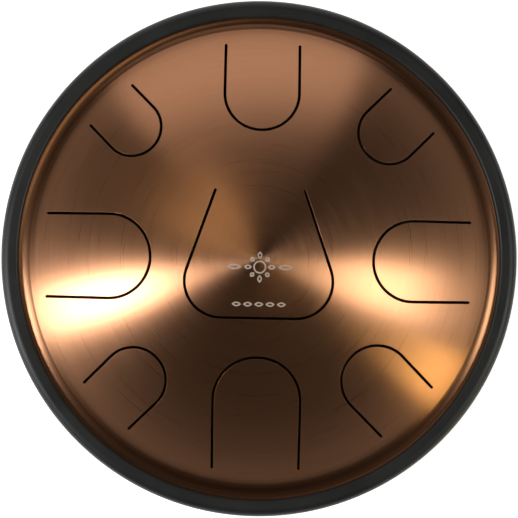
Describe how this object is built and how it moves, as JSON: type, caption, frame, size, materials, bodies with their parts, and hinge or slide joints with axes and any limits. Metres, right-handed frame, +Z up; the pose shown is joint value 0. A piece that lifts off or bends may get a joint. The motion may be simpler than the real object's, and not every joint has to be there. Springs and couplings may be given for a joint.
{
  "type": "steel tongue drum",
  "caption": "Round steel drum: a slotted dome with sprung tongues, joined to a deeper bowl under a rubber rim ring, standing on rubber feet.",
  "frame": {"origin": "on the drum's axis in the plane that its feet stand on", "axes": "+Z up along the drum's axis, +Y towards the root of the centre tongue, +X to the right seen from above with +Y away"},
  "size_m": [0.33, 0.33, 0.1521],
  "materials": {
    "copper_steel": "copper-coloured, brushed in circles",
    "rim_rubber": "satin black",
    "foot_rubber": "matt black",
    "adhesive": "cured adhesive",
    "zinc_steel": "zinc plated"
  },
  "bodies": {
    "drum": {"top_shell": "copper_steel", "bottom_shell": "copper_steel", "rim_ring": "rim_rubber", "seam_bond": "adhesive", "port_trim": "rim_rubber", "foot_1": "foot_rubber", "foot_2": "foot_rubber", "foot_3": "foot_rubber", "foot_4": "foot_rubber", "foot_screws": "zinc_steel", "foot_washers": "zinc_steel", "foot_nuts": "zinc_steel"},
    "centre_tongue": {"tongue_centre": "copper_steel"},
    "tongue_1": {"tongue_1": "copper_steel"},
    "tongue_2": {"tongue_2": "copper_steel"},
    "tongue_3": {"tongue_3": "copper_steel"},
    "tongue_4": {"tongue_4": "copper_steel"},
    "tongue_5": {"tongue_5": "copper_steel"},
    "tongue_6": {"tongue_6": "copper_steel"},
    "tongue_7": {"tongue_7": "copper_steel"},
    "tongue_8": {"tongue_8": "copper_steel"}
  },
  "joints": [
    {"name": "centre_tongue_flex", "type": "hinge", "parent": "drum", "child": "centre_tongue", "pos_m": [0, 0.04253, 0.14734], "axis": [-1, 0, 0], "range_deg": [-1.14, 1.14], "stiffness_Nm_per_rad": 119},
    {"name": "tongue_1_flex", "type": "hinge", "parent": "drum", "child": "tongue_1", "pos_m": [0, -0.13312, 0.1087], "axis": [1, 0, 0], "range_deg": [-0.95, 0.95], "stiffness_Nm_per_rad": 127},
    {"name": "tongue_2_flex", "type": "hinge", "parent": "drum", "child": "tongue_2", "pos_m": [-0.13453, 0, 0.1077], "axis": [0, -1, 0], "range_deg": [-0.86, 0.86], "stiffness_Nm_per_rad": 132},
    {"name": "tongue_3_flex", "type": "hinge", "parent": "drum", "child": "tongue_3", "pos_m": [0.13362, 0, 0.10835], "axis": [0, 1, 0], "range_deg": [-0.78, 0.78], "stiffness_Nm_per_rad": 135},
    {"name": "tongue_4_flex", "type": "hinge", "parent": "drum", "child": "tongue_4", "pos_m": [0, 0.13542, 0.10704], "axis": [-1, 0, 0], "range_deg": [-0.65, 0.65], "stiffness_Nm_per_rad": 142},
    {"name": "tongue_5_flex", "type": "hinge", "parent": "drum", "child": "tongue_5", "pos_m": [0.09555, -0.09555, 0.10726], "axis": [0.7071, 0.7071, 0], "range_deg": [-0.59, 0.59], "stiffness_Nm_per_rad": 146},
    {"name": "tongue_6_flex", "type": "hinge", "parent": "drum", "child": "tongue_6", "pos_m": [-0.09519, -0.09519, 0.10763], "axis": [0.7071, -0.7071, 0], "range_deg": [-0.52, 0.52], "stiffness_Nm_per_rad": 148},
    {"name": "tongue_7_flex", "type": "hinge", "parent": "drum", "child": "tongue_7", "pos_m": [0.09569, 0.09569, 0.10712], "axis": [-0.7071, 0.7071, 0], "range_deg": [-0.44, 0.44], "stiffness_Nm_per_rad": 157},
    {"name": "tongue_8_flex", "type": "hinge", "parent": "drum", "child": "tongue_8", "pos_m": [-0.09562, 0.09562, 0.10719], "axis": [-0.7071, -0.7071, 0], "range_deg": [-0.41, 0.41], "stiffness_Nm_per_rad": 158}
  ]
}
